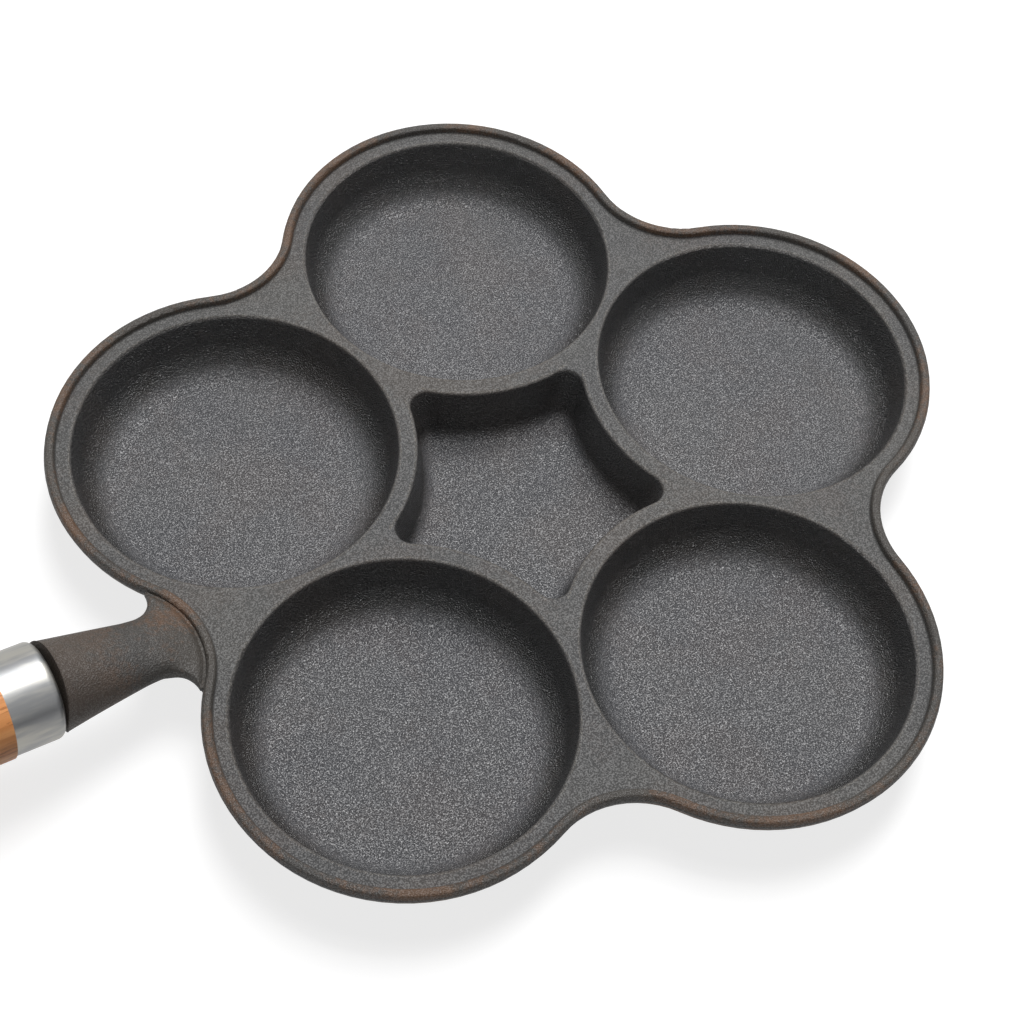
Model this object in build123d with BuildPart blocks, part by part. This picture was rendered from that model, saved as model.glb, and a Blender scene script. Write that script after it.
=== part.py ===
from build123d import *
from math import cos, radians, sin, sqrt, tan
import os

os.makedirs("parts", exist_ok=True)

# The pan stands on its cup bottoms at height 0, centred on the star well, with its handle towards -X.

# Round wells
well_count = 5
well_mouth_radius = 42.5
well_depth = 17.0
well_draft = 12.0
well_floor_round = 10.0
well_web = 3.0
mouth_round = 0.8

# Star well
star_web = 4.9
star_draft = 8.0
star_tip_round = 4.6
star_floor_round = 4.0

# Walls of the casting
cup_wall = 3.8
cup_floor = 4.0
plate_thickness = 3.0
plate_draft = 14.0
plate_edge_round = 1.0

# Raised bead round the rim
ledge_width = 3.7
bead_width = 3.0
bead_height = 2.0
bead_draft = 14.0
bead_round = 0.8
bead_foot_round = 0.6
parting_round = 0.8
valley_radius = 23.4

# Apron and stub that carry the handle
apron_foot_height = 0.3
apron_slope = 19.0
apron_fillet = 8.4
apron_neck_half_width = 6.6
handle_rise = 8.5
handle_lift = 0.9
stub_length = 38.8
neck_distance = 13.8
neck_half_width = 8.4
neck_half_height = 4.6
stub_end_radius = 11.5
root_distance = -1.5
root_half_width = 9.5
root_top_height = -0.8
ridge_distance = 6.0
ridge_half_width = 8.9
ridge_top_height = 3.9
end_land = 0.8
end_draft = 8.0

# Ferrule
ferrule_radius = 12.25
ferrule_length = 13.0
ferrule_wall = 0.8
ferrule_shoulder = 2.0

# Wooden grip
grip_length = 125.0
grip_front_radius = 12.7
grip_belly_at = 48.0
grip_belly_radius = 15.0
grip_waist_at = 95.0
grip_waist_radius = 12.2
grip_knob_from_end = 9.0
grip_knob_radius = 13.2
grip_end_radius = 9.6
spigot_chamfer = 1.0

# Tie rod, washers and eye nut at the tail
rod_radius = 3.0
rod_grip_in_stub = 20.0
rod_end_chamfer = 0.6
tail_washer_radius = 9.0
tail_washer_thickness = 1.2
tail_washer_round = 0.6
lock_washer_radius = 5.4
lock_washer_thickness = 1.6
lock_washer_gap = 1.2
nut_radius = 5.5
nut_length = 8.0
nut_end_wall = 1.5
nut_round = 0.8
eye_radius = 5.2
eye_hole_radius = 2.2
eye_thickness = 5.0
eye_stand = 3.2

# Hanging ring
ring_wire_radius = 1.5
ring_mean_radius = 15.5

# Clearances
thread_clearance = 0.05
hole_clearance = 0.3
spigot_clearance = 0.05
spigot_end_clearance = 0.2
tap_drill_extra = 2.0
level_tolerance = 0.01

# Levels and radii that follow
floor_level = cup_floor
web_level = floor_level + well_depth
plate_under = web_level - plate_thickness
bead_top = web_level + bead_height
half_step = 180 / well_count
ring_radius = (2 * well_mouth_radius + well_web) / (2 * sin(radians(half_step)))
lobe_radius = well_mouth_radius + ledge_width + bead_width
lobe_half_pitch = ring_radius * sin(radians(half_step))
valley_ring = ring_radius * cos(radians(half_step)) + sqrt(
    (lobe_radius + valley_radius) ** 2 - lobe_half_pitch**2
)
rim_reach = valley_ring - valley_radius
star_tip_ring = ring_radius * cos(radians(half_step)) - sqrt(
    (well_mouth_radius + star_web + star_tip_round) ** 2 - lobe_half_pitch**2
)
handle_angle = 180
first_well_angle = handle_angle + half_step


def ring_point(radius, angle):
    """A point of the plan at that radius and angle from the pan's centre."""
    return (radius * cos(radians(angle)), radius * sin(radians(angle)))


def between(start, end, distance):
    """The point that lies so far from start on the way to end."""
    step = Vector(*end) - Vector(*start)
    return Vector(*start) + step.normalized() * distance


def rim_outline(inset, level):
    """The five-lobed outline drawn in by inset, as a face on the plane at that level."""
    lobe = lobe_radius - inset
    valley = valley_radius + inset
    with BuildSketch(Plane.XY.offset(level)) as outline:
        with BuildLine():
            for number in range(well_count):
                angle = first_well_angle + 2 * half_step * number
                centre = ring_point(ring_radius, angle)
                before = ring_point(valley_ring, angle - half_step)
                after = ring_point(valley_ring, angle + half_step)
                next_centre = ring_point(ring_radius, angle + 2 * half_step)
                ThreePointArc(
                    between(centre, before, lobe),
                    ring_point(ring_radius + lobe, angle),
                    between(centre, after, lobe),
                )
                ThreePointArc(
                    between(centre, after, lobe),
                    ring_point(valley_ring - valley, angle + half_step),
                    between(next_centre, after, lobe),
                )
        make_face()
    return outline.sketch


def well_locations():
    """The centres of the round wells on their ring."""
    return PolarLocations(ring_radius, well_count, start_angle=first_well_angle)


def at_level(edge, level):
    """Whether that edge lies flat at that level."""
    box = edge.bounding_box()
    return abs(box.min.Z - level) < level_tolerance and abs(box.max.Z - level) < level_tolerance


def on_outline(edge, inset):
    """Whether that edge is an arc, at web level, of the outline drawn in by inset."""
    if edge.geom_type != GeomType.CIRCLE or not at_level(edge, web_level):
        return False
    radii = (lobe_radius - inset, valley_radius + inset)
    return min(abs(edge.radius - radius) for radius in radii) < level_tolerance


def is_upright(edge):
    """Whether that edge runs up a wall and not round it."""
    return edge.bounding_box().size.Z > level_tolerance


def draw_in(depth, draft):
    """How far a wall of that draft comes in over that depth."""
    return depth * tan(radians(draft))


# Handle axis, rising away from the rim
axis_direction = Vector(-cos(radians(handle_rise)), 0, sin(radians(handle_rise)))
axis_down = Vector(-sin(radians(handle_rise)), 0, -cos(radians(handle_rise)))
axis_root = Vector(-rim_reach, 0, web_level + handle_lift)
handle_axis = Axis(axis_root, axis_direction)
handle_section = Plane(origin=axis_root, x_dir=axis_direction, z_dir=(0, 1, 0))


def handle_station(distance, drop=0.0):
    """The plane square to the handle axis at that distance, moved down its face by drop."""
    origin = axis_root + axis_direction * distance + axis_down * drop
    return Plane(origin=origin, x_dir=(0, 1, 0), z_dir=axis_direction)


def drafted_down(outline, level, depth, draft):
    """A solid that goes down from the outline at that level and draws in with depth."""
    with BuildPart() as form:
        extrude(outline, amount=depth, taper=draft)
        mirror(about=Plane.XY.offset(level), mode=Mode.REPLACE)
    return form.part


def star_outline(level):
    """The star left between the round wells, with sharp tips, as a face at that level."""
    with BuildSketch(Plane.XY.offset(level)) as star:
        Circle(lobe_half_pitch)
        with well_locations():
            Circle(well_mouth_radius + star_web, mode=Mode.SUBTRACT)
    return star.sketch


def rounded_star(outset, level):
    """The star with its tips rounded, drawn out by outset, as a face at that level."""
    side = well_mouth_radius + star_web - outset
    tip = star_tip_round + outset
    with BuildSketch(Plane.XY.offset(level)) as star:
        with BuildLine():
            for number in range(well_count):
                angle = first_well_angle + 2 * half_step * number
                well = ring_point(ring_radius, angle)
                before = ring_point(star_tip_ring, angle - half_step)
                after = ring_point(star_tip_ring, angle + half_step)
                next_well = ring_point(ring_radius, angle + 2 * half_step)
                ThreePointArc(
                    between(well, before, side),
                    ring_point(ring_radius - side, angle),
                    between(well, after, side),
                )
                ThreePointArc(
                    between(well, after, side),
                    ring_point(star_tip_ring + tip, angle + half_step),
                    between(next_well, after, side),
                )
        make_face()
    return star.sketch


def turned_cup(mouth_radius, bottom, top, corner_round):
    """A drafted cup turned about the height axis, with its mouth radius at the web."""
    with BuildPart() as form:
        with BuildSketch(Plane.XZ) as profile:
            with BuildLine():
                Polyline(
                    (0, bottom),
                    (mouth_radius - draw_in(web_level - bottom, well_draft), bottom),
                    (mouth_radius + draw_in(top - web_level, well_draft), top),
                    (0, top),
                    close=True,
                )
            make_face()
            fillet(profile.vertices().group_by(Axis.Y)[0].sort_by(Axis.X)[-1], corner_round)
        revolve(axis=Axis.Z)
    return form.part


# Hollows and cups of the casting
well_hollow = turned_cup(well_mouth_radius, floor_level, bead_top, well_floor_round)
well_cup = turned_cup(
    well_mouth_radius + cup_wall / cos(radians(well_draft)), 0, web_level, well_floor_round + cup_wall
)

with BuildPart() as star_hollow:
    extrude(star_outline(web_level), amount=-well_depth, taper=star_draft)
    fillet(star_hollow.edges().filter_by(is_upright), star_tip_round)
    fillet(star_hollow.faces().sort_by(Axis.Z)[0].edges(), star_floor_round)

star_cup_wall = cup_wall / cos(radians(star_draft))
star_cup_mouth = rounded_star(star_cup_wall, web_level)
star_cup_bottom = rounded_star(star_cup_wall - draw_in(web_level, star_draft), 0)
with BuildPart() as star_cup:
    loft([star_cup_mouth, star_cup_bottom])
    fillet(star_cup.faces().sort_by(Axis.Z)[0].edges(), star_floor_round)


def stub_section(distance, half_width, top, bottom):
    """The stub's oval section at that distance, with its top and bottom heights above the web."""
    half_height = (top - bottom) / 2
    axis_height = handle_lift + distance * sin(radians(handle_rise))
    with BuildSketch(handle_station(distance, axis_height - (top + bottom) / 2)) as section:
        Ellipse(half_width, half_height)
    return section.sketch


def barrel_section(share):
    """The stub's section at that share of the way from the neck to its end."""
    distance = neck_distance + share * (stub_length - neck_distance)
    half_width = neck_half_width + share * (stub_end_radius - neck_half_width)
    half_height = neck_half_height + share * (stub_end_radius - neck_half_height)
    axis_height = handle_lift + distance * sin(radians(handle_rise))
    return stub_section(distance, half_width, axis_height + half_height, axis_height - half_height)


# Dished apron that rises from the rim to the neck, flush with the plate below
apron_end = valley_radius - neck_distance
apron_start = valley_radius + bead_width / 2
apron_climb = neck_distance * tan(radians(apron_slope))
with BuildPart() as apron:
    with BuildSketch(Plane.XZ):
        with BuildLine():
            Polyline(
                (apron_start, plate_under),
                (apron_start, web_level + apron_foot_height),
                (valley_radius, web_level + apron_foot_height),
                (apron_end, web_level + apron_foot_height + apron_climb),
                (apron_end, plate_under + apron_climb),
                (valley_radius, plate_under),
                close=True,
            )
        make_face()
    revolve(axis=Axis.Z)
    flank = apron_neck_half_width + apron_fillet
    with BuildSketch():
        with Locations(((apron_start + apron_end) / 2, 0)):
            Rectangle(apron_start - apron_end, 2 * flank)
        with Locations((apron_end, flank), (apron_end, -flank)):
            Circle(apron_fillet, mode=Mode.SUBTRACT)
    extrude(amount=2 * web_level, mode=Mode.INTERSECT)
apron_at_rim = apron.part.moved(Location((-valley_ring, 0, 0)))

# Stub, with the tapped hole and the drafted end face that meets the ferrule on a ridge
neck_height = handle_lift + neck_distance * sin(radians(handle_rise))
root_bottom = -plate_thickness
ridge_bottom = (root_bottom + neck_height - neck_half_height) / 2
end_cut = 2 * stub_end_radius
with BuildPart() as stub:
    stub_root = stub_section(root_distance, root_half_width, root_top_height, root_bottom)
    stub_ridge = stub_section(ridge_distance, ridge_half_width, ridge_top_height, ridge_bottom)
    barrel = [barrel_section(share) for share in (0, 1 / 3, 2 / 3, 1)]
    loft([stub_root, stub_ridge] + barrel)
    extrude(rim_outline(bead_width / 2, 0), amount=2 * bead_top, mode=Mode.SUBTRACT)
    with BuildSketch(handle_section):
        for side in (1, -1):
            with BuildLine():
                Polyline(
                    (stub_length, side * end_land / 2),
                    (stub_length, side * end_cut),
                    (stub_length - draw_in(end_cut, end_draft), side * end_cut),
                    close=True,
                )
            make_face()
    extrude(amount=end_cut, both=True, mode=Mode.SUBTRACT)
    with BuildSketch(handle_station(stub_length)):
        Circle(rod_radius + thread_clearance)
    extrude(amount=-(rod_grip_in_stub + tap_drill_extra), mode=Mode.SUBTRACT)

# Pan casting
with BuildPart() as pan_casting:
    plate_outline = rim_outline(0, web_level)
    add(drafted_down(plate_outline, web_level, plate_thickness, plate_draft))
    extrude(plate_outline, amount=bead_height, taper=bead_draft)
    recess_outline = rim_outline(bead_width - draw_in(bead_height, bead_draft), bead_top)
    add(drafted_down(recess_outline, bead_top, bead_height, bead_draft), mode=Mode.SUBTRACT)
    rim_edges = pan_casting.edges()
    fillet(rim_edges.filter_by(lambda edge: at_level(edge, bead_top)), bead_round)
    fillet(rim_edges.filter_by(lambda edge: at_level(edge, plate_under)), plate_edge_round)
    fillet(pan_casting.edges().filter_by(lambda edge: on_outline(edge, bead_width)), bead_foot_round)
    fillet(pan_casting.edges().filter_by(lambda edge: on_outline(edge, 0)), parting_round)
    with well_locations():
        add(well_cup)
    add(star_cup.part)

    # Wells with rounded mouths
    with well_locations():
        add(well_hollow, mode=Mode.SUBTRACT)
    fillet(pan_casting.edges(Select.LAST).filter_by(lambda edge: at_level(edge, web_level)), mouth_round)
    add(star_hollow.part, mode=Mode.SUBTRACT)
    fillet(pan_casting.edges(Select.LAST).filter_by(lambda edge: at_level(edge, web_level)), mouth_round)

    # Root of the handle
    add(apron_at_rim)
    add(stub.part)

pan_casting.part.label = "pan_casting"
export_step(pan_casting.part, "parts/pan_casting.step")


# Ferrule, a drawn cup with its closed end against the stub
bore_radius = rod_radius + hole_clearance
ferrule_front = stub_length
ferrule_back = ferrule_front + ferrule_length
with BuildPart() as ferrule:
    with BuildSketch(handle_section) as ferrule_half:
        with BuildLine():
            Polyline(
                (ferrule_front, bore_radius),
                (ferrule_front, ferrule_radius),
                (ferrule_back, ferrule_radius),
                (ferrule_back, ferrule_radius - ferrule_wall),
                (ferrule_front + ferrule_wall, ferrule_radius - ferrule_wall),
                (ferrule_front + ferrule_wall, bore_radius),
                close=True,
            )
        make_face()
        outer_corner = (ferrule_front, ferrule_radius)
        inner_corner = (ferrule_front + ferrule_wall, ferrule_radius - ferrule_wall)
        fillet(ferrule_half.vertices().sort_by_distance(outer_corner)[0], ferrule_shoulder)
        inner_round = ferrule_shoulder - ferrule_wall
        fillet(ferrule_half.vertices().sort_by_distance(inner_corner)[0], inner_round)
    revolve(axis=handle_axis)

ferrule.part.label = "ferrule"
export_step(ferrule.part, "parts/ferrule.step")


# Wooden grip, turned, bored through and spigoted into the ferrule
spigot_start = ferrule_front + ferrule_wall + spigot_end_clearance
grip_end = ferrule_back + grip_length
with BuildPart() as handle_grip:
    spigot_radius = ferrule_radius - ferrule_wall - spigot_clearance
    with BuildSketch(handle_section):
        with BuildLine():
            Polyline(
                (ferrule_back, grip_front_radius),
                (ferrule_back, spigot_radius),
                (spigot_start + spigot_chamfer, spigot_radius),
                (spigot_start, spigot_radius - spigot_chamfer),
                (spigot_start, bore_radius),
                (grip_end, bore_radius),
                (grip_end, grip_end_radius),
            )
            Spline(
                (ferrule_back, grip_front_radius),
                (ferrule_back + grip_belly_at, grip_belly_radius),
                (ferrule_back + grip_waist_at, grip_waist_radius),
                (grip_end - grip_knob_from_end, grip_knob_radius),
                (grip_end, grip_end_radius),
                tangents=[(1, 0), (0, -1)],
            )
        make_face()
    revolve(axis=handle_axis)

handle_grip.part.label = "handle_grip"
export_step(handle_grip.part, "parts/handle_grip.step")


# Plain washer that spreads the rod's pull over the grip's end grain
with BuildPart() as tail_washer:
    with BuildSketch(handle_section):
        with Locations((grip_end + tail_washer_thickness / 2, (tail_washer_radius + bore_radius) / 2)):
            Rectangle(tail_washer_thickness, tail_washer_radius - bore_radius)
    revolve(axis=handle_axis)
    rim = tail_washer.faces().sort_by(handle_axis)[-1].edges().sort_by(SortBy.LENGTH)[-1]
    fillet(rim, tail_washer_round)

tail_washer.part.label = "tail_washer"
export_step(tail_washer.part, "parts/tail_washer.step")


# Split spring washer that keeps the rod tight as the wood dries
washer_start = grip_end + tail_washer_thickness
with BuildPart() as lock_washer:
    with BuildSketch(handle_station(washer_start)):
        Circle(lock_washer_radius)
        Circle(bore_radius, mode=Mode.SUBTRACT)
        with Locations((0, -lock_washer_radius)):
            Rectangle(lock_washer_gap, 2 * lock_washer_radius, mode=Mode.SUBTRACT)
    extrude(amount=lock_washer_thickness)

lock_washer.part.label = "lock_washer"
export_step(lock_washer.part, "parts/lock_washer.step")


# Eye nut that draws the handle together and holds the ring
nut_start = washer_start + lock_washer_thickness
nut_end = nut_start + nut_length
eye_distance = nut_end + eye_stand
eye_centre = axis_root + axis_direction * eye_distance
eye_plane = Plane(origin=eye_centre, x_dir=axis_direction, z_dir=(0, 1, 0))
rod_end = nut_end - nut_end_wall
with BuildPart() as eye_nut:
    with BuildSketch(handle_station(nut_start)):
        Circle(nut_radius)
    extrude(amount=nut_length)
    fillet(eye_nut.faces().sort_by(handle_axis)[-1].edges(), nut_round)
    with BuildSketch(eye_plane):
        Circle(eye_radius)
        with Locations((-eye_stand / 2, 0)):
            Rectangle(eye_stand, 2 * eye_radius)
    extrude(amount=eye_thickness / 2, both=True)
    with BuildSketch(eye_plane):
        Circle(eye_hole_radius)
    extrude(amount=nut_radius, both=True, mode=Mode.SUBTRACT)
    with BuildSketch(handle_station(nut_start)):
        Circle(rod_radius + thread_clearance)
    extrude(amount=nut_length - nut_end_wall + thread_clearance, mode=Mode.SUBTRACT)

eye_nut.part.label = "eye_nut"
export_step(eye_nut.part, "parts/eye_nut.step")


# Tie rod from the stub through the grip into the eye nut
rod_start = stub_length - rod_grip_in_stub
with BuildPart() as tie_rod:
    with BuildSketch(handle_station(rod_start)):
        Circle(rod_radius)
    extrude(amount=rod_end - rod_start)
    chamfer(tie_rod.edges().filter_by(GeomType.CIRCLE), rod_end_chamfer)

tie_rod.part.label = "tie_rod"
export_step(tie_rod.part, "parts/tie_rod.step")


# Hanging ring, a closed wire ring that hangs straight down from the eye
ring_centre = eye_centre - Vector(0, 0, ring_mean_radius)
with BuildPart() as hanging_ring:
    with BuildSketch(Plane(origin=ring_centre, x_dir=(1, 0, 0), z_dir=(0, -1, 0))):
        with Locations((0, ring_mean_radius)):
            Circle(ring_wire_radius)
    revolve(axis=Axis(ring_centre, (1, 0, 0)))

hanging_ring.part.label = "hanging_ring"
export_step(hanging_ring.part, "parts/hanging_ring.step")
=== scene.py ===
from math import cos, pi, radians, sin, tan

import bmesh
import bpy
import numpy as np
from mathutils import Matrix, Vector


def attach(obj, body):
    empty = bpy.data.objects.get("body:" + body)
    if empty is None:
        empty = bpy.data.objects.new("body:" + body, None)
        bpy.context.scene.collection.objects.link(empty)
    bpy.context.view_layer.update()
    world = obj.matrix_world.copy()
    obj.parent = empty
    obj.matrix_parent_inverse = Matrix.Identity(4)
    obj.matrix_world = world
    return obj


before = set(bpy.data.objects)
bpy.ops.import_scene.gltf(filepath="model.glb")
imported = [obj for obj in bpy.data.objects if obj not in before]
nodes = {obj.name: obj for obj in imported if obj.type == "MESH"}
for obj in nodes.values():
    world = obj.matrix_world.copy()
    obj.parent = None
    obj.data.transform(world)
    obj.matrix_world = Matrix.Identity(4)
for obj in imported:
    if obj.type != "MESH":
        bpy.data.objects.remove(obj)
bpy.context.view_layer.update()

# One millimetre in metres
MM = 0.001

# Places of the casting in metres, as the solids have them
WELL_RING = 0.074857
WELL_STEP = radians(72)
WELL_LIP = 0.0431
WELL_DRAFT = 0.2126
CUP_REACH = 0.0444
STAR_LIP = 0.0467
STAR_REACH = 0.0385
WEB_LEVEL = 0.021
FLOOR_LEVEL = 0.004
RIM_REACH = 0.094908
STUB_END = -0.1333

# Heights and depths from the web, or heights from the floors, where one place turns into another
SUNK_DEPTHS = (0.1 * MM, 1.2 * MM)
RAISED_HEIGHTS = (0.2 * MM, 0.9 * MM)
SIDE_HEIGHTS = (0.1 * MM, 3.6 * MM)
LIP_WIDTH, LIP_SOFT = 0.6 * MM, 0.3 * MM
LIP_DEPTHS = (0.12 * MM, 0.3 * MM)
# Depths of the turn below each mouth that is darkened as painted shade
CREASE_SHADE_DEPTHS, CREASE_SHADE_SOFT = (0.3 * MM, 0.7 * MM), 0.15 * MM

# Handle axis, from its root at the rim
HANDLE_RISE = radians(8.5)
HANDLE_LIFT = 0.0009

# Camera, at the photograph's place and angle
CAMERA_PLACE = (-0.1825, -0.2263, 0.4571)
CAMERA_RIGHT = Vector((0.84746675, -0.52532229, 0.07639766))
CAMERA_DOWN = Vector((-0.41030455, -0.73952183, -0.53362687))
CAMERA_LENS = 70.4
CAMERA_SENSOR = 36


def aim_camera():
    """Places the camera by its right, up and back directions."""
    data = bpy.data.cameras.new("camera")
    data.lens = CAMERA_LENS
    data.sensor_width = CAMERA_SENSOR
    camera = bpy.data.objects.new("camera", data)
    bpy.context.scene.collection.objects.link(camera)
    right = CAMERA_RIGHT.normalized()
    up = -(CAMERA_DOWN - CAMERA_DOWN.project(right)).normalized()
    turn = Matrix((right, up, right.cross(up))).transposed()
    camera.matrix_world = Matrix.Translation(CAMERA_PLACE) @ turn.to_4x4()
    bpy.context.scene.camera = camera


aim_camera()


# Node helpers
class Maker:
    """Adds nodes to one tree and joins them."""

    def __init__(self, tree):
        self.tree = tree

    def put(self, kind, inputs=(), **settings):
        """One node with its settings, and with each named or numbered input set or joined."""
        node = self.tree.nodes.new(kind)
        for name, value in settings.items():
            setattr(node, name, value)
        for socket, value in dict(inputs).items():
            self.feed(node.inputs[socket], value)
        return node

    def feed(self, socket, value):
        """Joins an output to the socket, or sets the socket's own value."""
        if isinstance(value, bpy.types.NodeSocket):
            self.tree.links.new(value, socket)
        else:
            socket.default_value = value

    def math(self, operation, first, second=0.0, third=0.0):
        """The result of one operation on numbers."""
        inputs = {0: first, 1: second, 2: third}
        return self.put("ShaderNodeMath", inputs, operation=operation).outputs[0]

    def add(self, first, second):
        return self.math("ADD", first, second)

    def less(self, first, second):
        return self.math("SUBTRACT", first, second)

    def times(self, first, second):
        return self.math("MULTIPLY", first, second)

    def most(self, first, second):
        return self.math("MAXIMUM", first, second)

    def rest(self, share):
        """What a share leaves of one."""
        return self.less(1.0, share)

    def weigh(self, base, *parts):
        """The base number plus each mask times its weight."""
        for mask, weight in parts:
            base = self.math("MULTIPLY_ADD", mask, weight, base)
        return base

    def length(self, first, second):
        """The length of the hypotenuse over two sides."""
        return self.math("SQRT", self.weigh(self.times(second, second), (first, first)))

    def split(self, place):
        """The three parts of a place."""
        return self.put("ShaderNodeSeparateXYZ", {0: place}).outputs

    def ramp(self, value, low, high, kind="SMOOTHSTEP"):
        """A number that goes from 0 to 1 as value goes from low to high."""
        inputs = {"Value": value, "From Min": low, "From Max": high}
        return self.put("ShaderNodeMapRange", inputs, interpolation_type=kind).outputs[0]

    def band(self, value, low, high, soft):
        """One between low and high, with soft ends outside them."""
        rise = self.ramp(value, low - soft, low)
        return self.less(rise, self.ramp(value, high, high + soft))

    def blend(self, share, first, second):
        """The second colour over the first by that share."""
        inputs = {0: share, 6: first, 7: second}
        return self.put("ShaderNodeMix", inputs, data_type="RGBA").outputs[2]

    def coats(self, tone, *layers):
        """Colours laid one after another over the first tone, each by its own share."""
        for share, coat in layers:
            tone = self.blend(share, tone, coat)
        return tone

    def mapping(self, place, location=(0, 0, 0), rotation=(0, 0, 0), scale=(1, 1, 1)):
        """Place coordinates moved, turned and stretched into a pattern's own."""
        inputs = {"Vector": place, "Location": location, "Rotation": rotation, "Scale": scale}
        return self.put("ShaderNodeMapping", inputs, vector_type="TEXTURE").outputs[0]

    def noise(self, place, scale, detail=2.0, rough=0.5):
        """Cloudy noise from about 0 to 1."""
        inputs = {"Vector": place, "Scale": scale, "Detail": detail, "Roughness": rough}
        return self.put("ShaderNodeTexNoise", inputs).outputs[0]

    def seen(self):
        """One for the rays of the camera and of gloss and glass, else nothing."""
        path = self.put("ShaderNodeLightPath").outputs
        mirrored = self.most(path["Is Glossy Ray"], path["Is Transmission Ray"])
        return self.most(path["Is Camera Ray"], mirrored)


def new_group(name, inputs, outputs):
    """An empty node group with named inputs and outputs, its maker and its two ends."""
    tree = bpy.data.node_groups.new(name, "ShaderNodeTree")
    for label, value in inputs.items():
        kind = "NodeSocketVector" if isinstance(value, tuple) else "NodeSocketFloat"
        socket = tree.interface.new_socket(label, in_out="INPUT", socket_type=kind)
        if kind == "NodeSocketFloat":
            socket.default_value = value
    for label in outputs:
        tree.interface.new_socket(label, in_out="OUTPUT", socket_type="NodeSocketFloat")
    make = Maker(tree)
    source = make.put("NodeGroupInput").outputs
    sink = make.put("NodeGroupOutput").inputs
    return tree, make, source, sink


def casting_places():
    """Masks of the casting's places.

    The five wells fold into one by the angle round the star. Hollow, web, raised and under follow
    from the distance to that well's centre, the radius from the star's centre and the height. Lip
    is the edge of each mouth, which the iron's colour lightens partly for wear and partly as a
    painted highlight. A second mask is the turn below it, which the iron's colour darkens as
    painted shade, and side the hollows' walls, from where the floor starts to turn up.
    """
    labels = ("Hollow", "Web", "Raised", "Under", "Lip", "Crease_shade", "Side")
    tree, make, source, sink = new_group("casting_places", {"Position": (0, 0, 0)}, labels)
    x, y, z = make.split(source["Position"])
    radius = make.length(x, y)
    turned = make.add(make.math("ARCTAN2", y, x), WELL_STEP / 2)
    folded = make.less(make.math("FLOORED_MODULO", turned, WELL_STEP), WELL_STEP / 2)
    along = make.less(make.times(radius, make.math("COSINE", folded)), WELL_RING)
    across = make.times(radius, make.math("SINE", folded))
    away = make.length(along, across)
    depth = make.less(WEB_LEVEL, z)

    # A wall's distance is carried up its draft to the web, where cups and star part
    wall = make.weigh(away, (depth, WELL_DRAFT))
    by_star = make.math("LESS_THAN", radius, STAR_REACH)
    in_well = make.math("LESS_THAN", wall, CUP_REACH)
    in_star = make.times(make.math("GREATER_THAN", wall, CUP_REACH), by_star)
    above = make.math("GREATER_THAN", z, FLOOR_LEVEL / 2)
    inside = make.times(make.most(in_well, in_star), above)
    sunk = make.ramp(depth, *SUNK_DEPTHS)
    hollow = make.times(inside, sunk)
    raised = make.ramp(make.less(z, WEB_LEVEL), *RAISED_HEIGHTS)
    side = make.ramp(make.less(z, FLOOR_LEVEL), *SIDE_HEIGHTS)

    # Edges of the mouths
    round_edge = make.band(away, WELL_LIP - LIP_WIDTH, WELL_LIP, LIP_SOFT)
    star_edge = make.band(away, STAR_LIP, STAR_LIP + LIP_WIDTH, LIP_SOFT)
    edge = make.most(round_edge, make.times(star_edge, by_star))
    lip = make.times(edge, make.rest(make.ramp(depth, *LIP_DEPTHS)))
    # The turn below each mouth, which the iron's colour darkens as painted shade
    crease_shade = make.band(depth, *CREASE_SHADE_DEPTHS, CREASE_SHADE_SOFT)

    masks = (
        hollow,
        make.rest(make.most(sunk, raised)),
        raised,
        make.times(make.rest(inside), sunk),
        make.times(lip, make.rest(raised)),
        make.times(crease_shade, inside),
        make.times(hollow, side),
    )
    for label, mask in zip(labels, masks):
        make.feed(sink[label], mask)
    return tree


def cast_skin():
    """Pebbled skin that moulding sand leaves.

    Height is smooth noise of one grain size, stretched to run from 0 to 1, with finer grit over it.
    """
    inputs = {"Position": (0, 0, 0), "Grain": 1000.0, "Grit": 0.4}
    tree, make, source, sink = new_group("cast_skin", inputs, ("Height",))
    place, grain = source["Position"], source["Grain"]
    grains = make.ramp(make.noise(place, grain, 0.5), 0.34, 0.66, "LINEAR")
    grit = make.noise(place, make.times(grain, 1.6), 0.0)
    make.feed(sink["Height"], make.weigh(grains, (make.less(grit, 0.5), source["Grit"])))
    return tree


def patchy_stain():
    """Patches broken up by speckle.

    Broad clouds and fine noise are added, and Amount moves the level above which they show.
    """
    inputs = {"Position": (0, 0, 0), "Spread": 60.0, "Speckle": 900.0, "Amount": 0.5}
    tree, make, source, sink = new_group("patchy_stain", inputs, ("Stain",))
    cloud = make.noise(source["Position"], source["Spread"], 3.0, 0.55)
    speckle = make.noise(source["Position"], source["Speckle"], 3.0, 0.65)
    mixed = make.weigh(make.times(cloud, 0.8), (speckle, 0.4))
    edge = make.weigh(0.85, (source["Amount"], -0.5))
    make.feed(sink["Stain"], make.ramp(mixed, edge, make.add(edge, 0.2)))
    return tree


def lengthwise_lines():
    """Lines that run along x, as noise stretched along x, from about 0 to 1."""
    inputs = {"Position": (0, 0, 0), "Fineness": 400.0, "Stretch": 20.0}
    tree, make, source, sink = new_group("lengthwise_lines", inputs, ("Streak",))
    thin = make.math("DIVIDE", 1.0, source["Stretch"])
    scale = make.put("ShaderNodeCombineXYZ", {0: thin, 1: 1.0, 2: 1.0}).outputs[0]
    inputs = {0: source["Position"], 1: scale}
    place = make.put("ShaderNodeVectorMath", inputs, operation="MULTIPLY").outputs[0]
    make.feed(sink["Streak"], make.noise(place, source["Fineness"], 3.0, 0.6))
    return tree


groups = {
    "places": casting_places(),
    "skin": cast_skin(),
    "stain": patchy_stain(),
    "lines": lengthwise_lines(),
}


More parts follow.
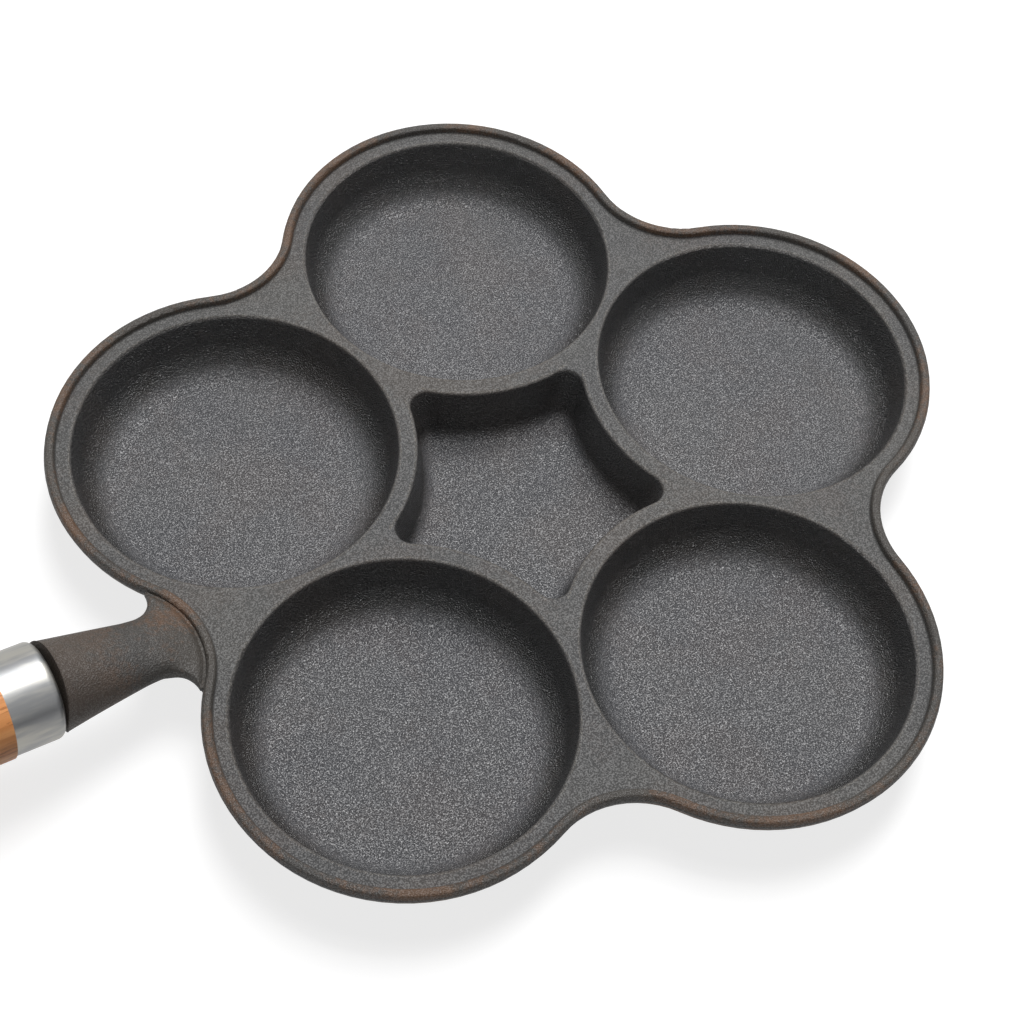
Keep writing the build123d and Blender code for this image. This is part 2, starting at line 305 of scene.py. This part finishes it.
def new_material(name):
    """A material with its maker, its shader's sockets and its place coordinates."""
    material = bpy.data.materials.new(name)
    material.use_nodes = True
    tree = material.node_tree
    tree.nodes.clear()
    make = Maker(tree)
    shader = make.put("ShaderNodeBsdfPrincipled")
    sink = make.put("ShaderNodeOutputMaterial")
    tree.links.new(shader.outputs[0], sink.inputs[0])
    place = make.put("ShaderNodeTexCoord").outputs["Object"]
    return material, make, shader.inputs, place


def use(make, group, place, **values):
    """The outputs of a shared group, placed in a material with its own values."""
    inputs = {"Position": place, **values}
    return make.put("ShaderNodeGroup", inputs, node_tree=groups[group]).outputs


def colour(red, green, blue):
    """A linear colour from the 0 to 255 values of a paint card."""
    card = np.array((red, green, blue)) / 255
    linear = np.where(card <= 0.04045, card / 12.92, ((card + 0.055) / 1.055) ** 2.4)
    return (*linear.tolist(), 1.0)


def bumped(make, shader, height, strength, depth):
    """Turns a height pattern of that depth in metres into the shader's normals."""
    bump = make.put("ShaderNodeBump", {"Height": height, "Strength": strength, "Distance": depth})
    make.feed(shader["Normal"], bump.outputs[0])


def iron_tone(make, place, masks, grain, fine):
    """Base colour of the iron.

    Bluish wells and a grey web, browned where it is raised or under the plate, with some rust. The
    hollows' walls and the turn below each mouth are darkened as painted shade, and the lips are
    lighter, partly for wear and partly as a painted highlight. The grain's dips are darker, partly
    its own tone and partly painted shade, and its tops lighter, partly its own tone and partly
    painted glints, most of all in the wells.
    """
    cloud = make.ramp(make.noise(place, 30.0, 3.0), 0.3, 0.7)
    well = make.blend(cloud, colour(60, 61, 66), colour(69, 69, 72))
    web = make.blend(cloud, colour(52, 52, 53), colour(64, 63, 61))
    brown = make.blend(cloud, colour(25, 22, 18), colour(42, 35, 26))
    under = make.blend(cloud, colour(28, 24, 19), colour(38, 32, 25))

    # Rust, most of it on the rim and the handle's root, and less towards the ferrule
    rust = use(make, "stain", place, Spread=42.0, Speckle=800.0, Amount=0.62)["Stain"]
    by_root = make.ramp(make.split(place)[0], STUB_END + 8 * MM, STUB_END + 28 * MM)
    rusted = make.add(masks["Raised"], masks["Under"])
    rusted = make.weigh(0.08, (rusted, make.weigh(0.06, (by_root, 0.42))))

    # The grain's dips darker, partly its own tone and partly painted shade, and its tops lighter,
    # partly its own tone and partly painted glints, most of all in the wells
    strong = make.weigh(0.38, (masks["Web"], 0.27), (masks["Hollow"], 0.62))
    dips = make.times(make.rest(grain), strong)
    tops = make.times(make.ramp(grain, 0.55, 1.1, "LINEAR"), strong)
    # Lips lightened, partly for wear and partly as a painted highlight
    wear_and_highlight = make.times(masks["Lip"], make.ramp(fine, 0.3, 1.3))
    return make.coats(
        make.blend(masks["Hollow"], web, well),
        # The hollows' walls darkened to near black as painted shade
        (make.times(masks["Side"], 0.9), colour(17, 17, 18)),
        (masks["Raised"], brown),
        (masks["Under"], under),
        # Light tan of the lips: wear, and a painted highlight
        (wear_and_highlight, colour(104, 98, 90)),
        # The turn below each mouth darkened as painted shade
        (make.times(masks["Crease_shade"], 0.85), colour(28, 24, 21)),
        (make.times(rust, rusted), colour(98, 64, 32)),
        (make.times(dips, 0.6), colour(10, 10, 10)),
        (make.times(tops, 0.45), colour(112, 111, 110)),
    )


def seasoned_iron():
    """Sand-cast iron: dull in the dips of its grain and polished on the tops, finer on the web."""
    material, make, shader, place = new_material("seasoned_iron")
    masks = use(make, "places", place)
    grain = use(make, "skin", place, Grain=2700.0, Grit=0.9)["Height"]
    fine = use(make, "skin", place, Grain=3300.0, Grit=0.5)["Height"]
    make.feed(shader["Base Color"], iron_tone(make, place, masks, grain, fine))

    tops = make.ramp(grain, 0.1, 0.9, "LINEAR")
    polish = make.times(tops, make.rest(make.times(masks["Side"], 0.3)))
    flat = make.most(masks["Hollow"], masks["Web"])
    dull = make.weigh(0.78, (flat, 0.08), (masks["Side"], -0.34))
    shine = make.weigh(-0.22, (masks["Hollow"], -0.3))
    make.feed(shader["Roughness"], make.weigh(dull, (polish, shine)))
    shader["Metallic"].default_value = 0.0
    shader["Specular IOR Level"].default_value = 0.7

    relief = make.weigh(1.0, (masks["Web"], -0.75), (masks["Side"], 1.6))
    bumped(make, shader, make.weigh(make.times(fine, 0.2), (grain, relief)), 1.0, 0.09 * MM)
    return material


def handle_place(make, place):
    """Place coordinates turned into the handle's, with x along its axis."""
    root = (-RIM_REACH, 0, WEB_LEVEL + HANDLE_LIFT)
    return make.mapping(place, root, (0, HANDLE_RISE, 0))


def satin_steel():
    """Drawn steel, satin, with lengthwise smudges and soft wear."""
    material, make, shader, place = new_material("satin_steel")
    axis = handle_place(make, place)
    smudge = use(make, "lines", axis, Fineness=260.0, Stretch=6.0)["Streak"]
    brush = use(make, "lines", axis, Fineness=1800.0, Stretch=14.0)["Streak"]
    clean = make.ramp(smudge, 0.35, 0.65)
    tone = make.blend(clean, colour(128, 129, 130), colour(158, 156, 150))
    make.feed(shader["Base Color"], tone)
    shader["Metallic"].default_value = 1.0
    make.feed(shader["Roughness"], make.weigh(0.3, (smudge, 0.24)))
    bumped(make, shader, brush, 0.1, 0.02 * MM)
    return material


def zinc_plate():
    """Dull zinc on the small fasteners."""
    material, make, shader, place = new_material("zinc_plate")
    cloud = make.noise(place, 700.0, 3.0, 0.6)
    tone = make.blend(cloud, colour(150, 153, 155), colour(186, 187, 186))
    make.feed(shader["Base Color"], tone)
    shader["Metallic"].default_value = 1.0
    make.feed(shader["Roughness"], make.weigh(0.28, (cloud, 0.2)))
    return material


def oiled_beech():
    """Beech with growth rings off the axis, fine lines along it and short darker rays."""
    material, make, shader, place = new_material("oiled_beech")
    axis = handle_place(make, place)
    x, y, z = make.split(axis)

    # Growth rings about a centre outside the grip, 420 to the metre, that wander a little
    wander = make.noise(make.mapping(axis, scale=(6, 1, 1)), 30.0, 2.0)
    ring = make.length(make.add(y, 21 * MM), make.add(z, 30 * MM))
    ring = make.weigh(ring, (wander, 6 * MM))
    year = make.math("FRACT", make.times(ring, 420.0))
    late = make.times(make.ramp(year, 0.35, 0.9), make.rest(make.ramp(year, 0.93, 1.0)))

    fine = use(make, "lines", axis, Fineness=1300.0, Stretch=7.0)["Streak"]
    broad = use(make, "lines", axis, Fineness=420.0, Stretch=12.0)["Streak"]
    light = make.ramp(broad, 0.3, 0.7)
    rays = make.ramp(fine, 0.54, 0.66)
    tone = make.coats(
        make.blend(light, colour(216, 144, 86), colour(230, 164, 106)),
        (make.times(late, 0.4), colour(184, 112, 60)),
        (make.times(rays, 0.6), colour(150, 84, 42)),
    )
    make.feed(shader["Base Color"], tone)
    make.feed(shader["Roughness"], make.weigh(0.36, (fine, 0.2)))
    shader["Specular IOR Level"].default_value = 0.4
    bumped(make, shader, fine, 0.25, 0.06 * MM)
    return material


def grid_mesh(name, rows):
    """A closed skin from rows of points round a piece.

    Each row is joined to the next by quads, each row's last point to its first, and the end rows
    are points or flat lines whose doubles are merged.
    """
    count, turns, _ = rows.shape
    index = np.arange(count * turns).reshape(count, turns)
    after = np.roll(index, -1, axis=1)
    quads = np.stack((index[:-1], index[1:], after[1:], after[:-1]), axis=-1).reshape(-1, 4)
    mesh = bpy.data.meshes.new(name)
    mesh.from_pydata(rows.reshape(-1, 3).tolist(), [], quads.tolist())
    shell = bmesh.new()
    shell.from_mesh(mesh)
    bmesh.ops.remove_doubles(shell, verts=shell.verts, dist=1e-7)
    bmesh.ops.recalc_face_normals(shell, faces=shell.faces)
    shell.to_mesh(mesh)
    shell.free()
    mesh.polygons.foreach_set("use_smooth", np.ones(len(mesh.polygons), bool))
    piece = bpy.data.objects.new(name, mesh)
    bpy.context.scene.collection.objects.link(piece)
    return piece


# Skin of the handle's root, in millimetres. Distances run along the handle's axis from the rim,
# and levels are heights above the web.
FLANK_RADIUS, FLANK_TURN = 6.8, radians(83)
FLANK_ALONG, FLANK_ASIDE = 12.8, 15.13
FLANK_ROWS = 26
NECK = FLANK_ALONG - FLANK_RADIUS * cos(FLANK_TURN)
BARREL_ROWS = 30
BARREL_START, BARREL_HALF_WIDTH, BARREL_SPREAD = 13.8, 8.52, 0.124
BARREL_TOP, BARREL_TOP_SLOPE = 4.72, 0.276
NECK_TOP, NECK_TOP_SLOPE = 2.0, 0.414
BELLY_LEVEL, BELLY_SAG, BELLY_START, BELLY_REACH = -2.9, 2.08, 13.0, 25.8
SLAB_TOP, SLAB_SLOPE, SLAB_HALF = 1.1, 0.31, 2.2
SWELL, SWELL_GROWTH, SWELL_HALF_WIDTH = 0.95, 0.11, 6.0
UNDER_RIM = (-2.2, -1.2)
UNDER_RIM_BULGE, UNDER_RIM_HALF_WIDTH = 6.0, 15.7
ROW_POINTS = 72
BOX_POWER, OVAL_POWER = 5, 2
OVAL_FROM, OVAL_TO = -1, 17
AXIS_LIFT = HANDLE_LIFT / MM
VALLEY_RADIUS = 23.4
DIP_LEVEL, DIP_WIDTH = 0.9, 1.1
STUB_LENGTH, STUB_END_DRAFT, STUB_END_LAND = 38.8, radians(8), 0.8
SKIN_GAP = 0.03
# Share of the end row's size, and how far back it lies, for each row that closes the end
END_ROWS = ((0.985, 0.0), (0.6, 0.0), (0.3, 0.0), (0.3, 6.0), (0.0, 6.0))


def power(value, exponent):
    """The value's size raised to a power, with its sign kept."""
    return np.sign(value) * np.abs(value) ** exponent


def soft_step(value, low, high):
    """A number that goes smoothly from 0 to 1 as value goes from low to high."""
    share = np.clip((value - low) / (high - low), 0, 1)
    return share * share * (3 - 2 * share)


def root_plan():
    """Each row's distance, the extra distance of its flanks, and its half width, as columns.

    Two rows lie under the rim. Then the flanks follow a circle's arc from the rim to the neck: at a
    bend they stand at along - radius cos bend, with a half width of aside - radius sin bend. From
    the neck to the end the half width grows with the distance.
    """
    bend = np.linspace(0, FLANK_TURN, FLANK_ROWS)
    flank = NECK * (1 - np.cos(bend)) / (1 - cos(FLANK_TURN))
    flank_bulge = FLANK_ALONG - FLANK_RADIUS * np.cos(bend) - flank
    flank_width = FLANK_ASIDE - FLANK_RADIUS * np.sin(bend)
    barrel = np.linspace(NECK, STUB_LENGTH, BARREL_ROWS)[1:]
    barrel_width = BARREL_HALF_WIDTH + BARREL_SPREAD * (barrel - BARREL_START)
    count = len(UNDER_RIM)
    along = np.concatenate((UNDER_RIM, flank, barrel))
    bulge = np.concatenate(([UNDER_RIM_BULGE] * count, flank_bulge, 0 * barrel))
    width = np.concatenate(([UNDER_RIM_HALF_WIDTH] * count, flank_width, barrel_width))
    return along[:, None], bulge[:, None], width[:, None]


def root_levels(along, out, side, upward):
    """Level of each point of the rows, by how far up its row it lies, from -1 to 1.

    Near the rim a row is a sloping slab, with a low swell along its middle shaped like a bell
    curve. From the neck on it is an oval between a top that climbs with the axis and a bottom that
    falls by the square of the distance. One turns smoothly into the other.
    """
    swell = (SWELL + SWELL_GROWTH * along) * np.exp(-((side / SWELL_HALF_WIDTH) ** 2))
    slab = SLAB_TOP + SLAB_SLOPE * out - SLAB_HALF + SLAB_HALF * upward
    slab = slab + swell * np.maximum(upward, 0)
    axis_level = AXIS_LIFT + along * sin(HANDLE_RISE)
    barrel_top = axis_level + BARREL_TOP + BARREL_TOP_SLOPE * (along - BARREL_START)
    top = np.where(along < NECK, NECK_TOP + NECK_TOP_SLOPE * along, barrel_top)
    bottom = BELLY_LEVEL - BELLY_SAG * np.maximum((along - BELLY_START) / BELLY_REACH, 0) ** 2
    oval = (top + bottom) / 2 + (top - bottom) / 2 * upward
    return slab + (oval - slab) * soft_step(along, 1.0, NECK)


def stub_end(height):
    """Distance of the stub's end face at that height off the axis.

    It is flat over its land and leans back with its draft above and below, a hair inside the solid.
    """
    lean = tan(STUB_END_DRAFT) * np.maximum(np.abs(height) - STUB_END_LAND / 2, 0)
    return STUB_LENGTH - lean - SKIN_GAP


def handle_root():
    """The casting's skin from the rim's bead to the ferrule.

    Rows of points go round the handle axis. Each is a rounded box near the rim, whose corners
    soften into an ellipse, and its flanks are carried out by the square of their share of the
    width, so that it runs beside the rim. A dip shaped like a bell curve runs beside the bead. The
    last row is drawn in over the end face and into the rod's hole.
    """
    along, bulge, width = root_plan()
    turn = np.linspace(0, 2 * pi, ROW_POINTS, endpoint=False)[None, :]
    corner = BOX_POWER + (OVAL_POWER - BOX_POWER) * soft_step(along, OVAL_FROM, OVAL_TO)
    across = power(np.cos(turn), 2 / corner)
    upward = power(np.sin(turn), 2 / corner)
    side = width * across
    out = along + bulge * across**2
    level = root_levels(along, out, side, upward)
    beside = np.maximum(VALLEY_RADIUS - np.hypot(VALLEY_RADIUS - out, side), 0)
    dip = np.exp(-((beside / DIP_WIDTH) ** 2)) * np.clip(upward * 1.5, 0, 1)
    level = level + (DIP_LEVEL - level) * dip
    height = level - (AXIS_LIFT + out * sin(HANDLE_RISE))
    out = np.minimum(out, stub_end(height))
    rows = np.stack((out, side, height), axis=-1)

    face = rows[-1]
    middle = face.mean(axis=0) * (0, 1, 1)
    closing = []
    for share, back in END_ROWS:
        ring = middle + (face - middle) * (1, share, share)
        ring[:, 0] = stub_end(ring[:, 2]) - back
        closing.append(ring if share else np.full_like(ring, ring.mean(axis=0)))
    opening = rows[:1].copy()
    opening[..., 2] = opening[..., 2].mean()
    rows = np.concatenate((opening, rows, closing)) * MM
    out, side, height = rows[..., 0], rows[..., 1], rows[..., 2]
    x = -RIM_REACH - out * cos(HANDLE_RISE) + height * sin(HANDLE_RISE)
    z = WEB_LEVEL + HANDLE_LIFT + out * sin(HANDLE_RISE) + height * cos(HANDLE_RISE)
    return grid_mesh("handle_root", np.stack((x, side, z), axis=-1))


def dress(material, *names):
    """Puts one material on carried-over solids."""
    for name in names:
        for slot in nodes[name].material_slots:
            slot.material = material


iron = seasoned_iron()
steel = satin_steel()
zinc = zinc_plate()
dress(iron, "pan_casting")
dress(oiled_beech(), "handle_grip")
dress(steel, "ferrule", "tail_washer", "eye_nut", "hanging_ring")
dress(zinc, "lock_washer", "tie_rod")

root = handle_root()
root.data.materials.append(iron)
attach(root, "pan")


# Floor, card, world and lamps, in metres and watts
FLOOR_HALF = 3.0
FLOOR_SHADE = (0.32, 0.32, 0.32)
FLOOR_FAR = (0.5, 1.6)
FLOOR_GLOW, FLOOR_FAR_GLOW = 0.78, 0.25
CARD_AWAY, CARD_HALF, CARD_FOOT, CARD_TOP = -1.3, 2.5, 0.001, 0.36
CARD_SHADE = (0.05, 0.05, 0.06)
LAMP_TARGET = (0, 0, 0.02)


def matt_sheet(name, corners, shade):
    """A flat sheet of one matt shade that glows white, and the socket for its glow."""
    mesh = bpy.data.meshes.new(name)
    mesh.from_pydata(corners, [], [(0, 1, 2, 3)])
    sheet = bpy.data.objects.new(name, mesh)
    bpy.context.scene.collection.objects.link(sheet)
    material, make, shader, place = new_material(name)
    shader["Base Color"].default_value = (*shade, 1)
    shader["Roughness"].default_value = 1.0
    shader["Specular IOR Level"].default_value = 0.0
    shader["Emission Color"].default_value = (1, 1, 1, 1)
    mesh.materials.append(material)
    return sheet, make, place, shader["Emission Strength"]


def lay_floor():
    """A flat pale floor, white to the camera and in reflections, that keeps the pan's shadow.

    Its own glow grows with distance from the pan, to stay white where the lamps no longer reach.
    """
    corners = [(x * FLOOR_HALF, y * FLOOR_HALF, 0) for x, y in ((-1, -1), (1, -1), (1, 1), (-1, 1))]
    floor, make, place, strength = matt_sheet("floor", corners, FLOOR_SHADE)
    x, y, _ = make.split(place)
    far = make.ramp(make.length(x, y), *FLOOR_FAR)
    make.feed(strength, make.times(make.seen(), make.weigh(FLOOR_GLOW, (far, FLOOR_FAR_GLOW))))


def stand_card():
    """A low dark card across the front, for metal to reflect, and white to the camera."""
    corners = [
        (-CARD_HALF, CARD_AWAY, CARD_FOOT),
        (CARD_HALF, CARD_AWAY, CARD_FOOT),
        (CARD_HALF, CARD_AWAY, CARD_TOP),
        (-CARD_HALF, CARD_AWAY, CARD_TOP),
    ]
    card, make, _, strength = matt_sheet("dark_card", corners, CARD_SHADE)
    make.feed(strength, make.put("ShaderNodeLightPath").outputs["Is Camera Ray"])


def light_world(ambient):
    """White where the camera, gloss or glass looks, and a plain ambient level elsewhere."""
    world = bpy.data.worlds.new("studio")
    bpy.context.scene.world = world
    world.use_nodes = True
    tree = world.node_tree
    tree.nodes.clear()
    make = Maker(tree)
    level = make.weigh(ambient, (make.seen(), 1.0 - ambient))
    background = make.put("ShaderNodeBackground", {"Color": (1, 1, 1, 1), "Strength": level})
    sink = make.put("ShaderNodeOutputWorld")
    tree.links.new(background.outputs[0], sink.inputs[0])


def hang_lamp(name, place, width, height, power):
    """A soft rectangular lamp that faces the pan."""
    data = bpy.data.lights.new(name, "AREA")
    data.shape = "RECTANGLE"
    data.size = width
    data.size_y = height
    data.energy = power
    lamp = bpy.data.objects.new(name, data)
    bpy.context.scene.collection.objects.link(lamp)
    facing = (Vector(LAMP_TARGET) - Vector(place)).to_track_quat("-Z", "Y")
    lamp.matrix_world = Matrix.Translation(place) @ facing.to_matrix().to_4x4()


lay_floor()
stand_card()
light_world(ambient=0.08)
hang_lamp("back_lamp", (0.42, 0.4, 1.3), width=0.6, height=0.8, power=22.0)
hang_lamp("top_lamp", (0.08, 0.1, 1.4), width=0.35, height=0.35, power=4.0)

bpy.context.scene.view_settings.view_transform = "Standard"
